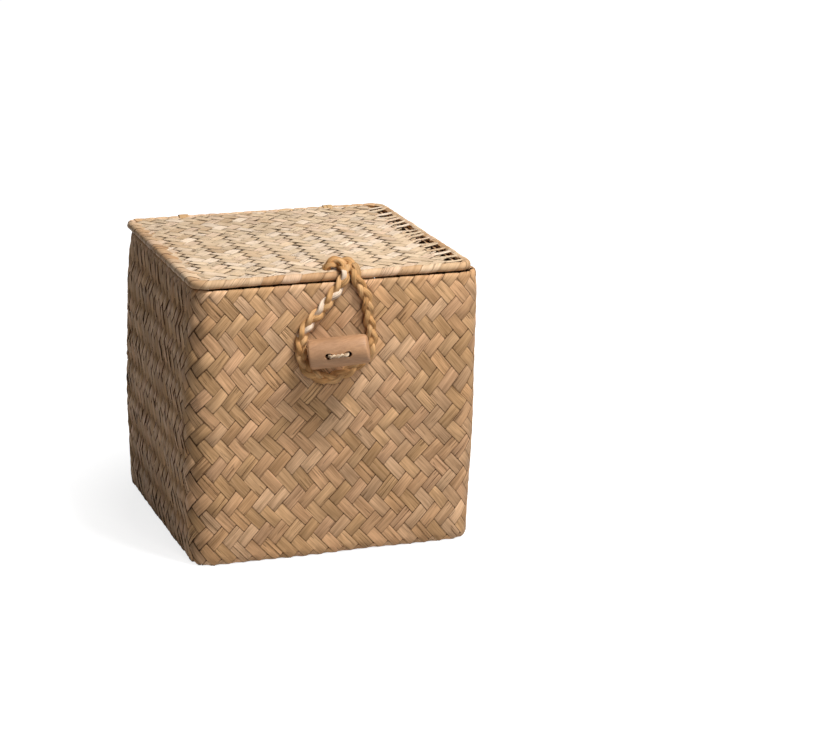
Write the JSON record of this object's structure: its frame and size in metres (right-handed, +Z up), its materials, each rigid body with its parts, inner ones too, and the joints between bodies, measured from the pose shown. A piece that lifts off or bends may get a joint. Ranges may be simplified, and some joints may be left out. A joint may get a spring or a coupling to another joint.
{
  "type": "woven storage box",
  "caption": "Cube-shaped box woven on the bias from flat palm strips, with a hinged woven lid, a braided closing loop and a wooden toggle.",
  "frame": {"origin": "floor, under the middle of the base", "axes": "+Z up, front wall with the toggle towards -Y, hinge side towards +Y, +X to the right seen from the front"},
  "size_m": [0.2099, 0.2429, 0.2114],
  "materials": {
    "wall_strips": "dry split palm strip, satin",
    "lid_strips": "pale dry palm strip, satin",
    "cane": "bare cane",
    "tie_strip": "folded palm strip",
    "toggle_wood": "sanded beech, unvarnished",
    "braid": "plaited leaf fibre",
    "thread": "twisted cotton cord"
  },
  "bodies": {
    "basket": {"woven_body": "wall_strips", "rim_fold": "wall_strips", "hinge_tie_left": "tie_strip", "hinge_tie_right": "tie_strip"},
    "lid": {"lid_panel": "lid_strips", "lid_rolled_edge": "lid_strips", "lid_edge_core": "cane", "loop_anchor": "braid"},
    "loop": {"closing_loop": "braid"},
    "toggle": {"toggle": "toggle_wood", "toggle_cord": "thread"}
  },
  "joints": [
    {"name": "lid_hinge", "type": "hinge", "parent": "basket", "child": "lid", "pos_m": [0, 0.0982, 0.2], "axis": [-1, 0, 0], "range_deg": [0, 110], "deforming": ["closing_loop"]},
    {"name": "loop_hang", "type": "hinge", "parent": "lid", "child": "loop", "pos_m": [0, -0.0982, 0.2], "axis": [-1, 0, 0], "range_deg": [-88, 0]},
    {"name": "toggle_turn", "type": "hinge", "parent": "basket", "child": "toggle", "pos_m": [-0.0042, -0.1215, 0.1531], "axis": [0.3256, 0.9455, 0], "range_deg": [-90, 90]}
  ],
  "couplings": [
    {"joint": "loop_hang", "follows": "lid_hinge", "ratio": -0.8}
  ]
}
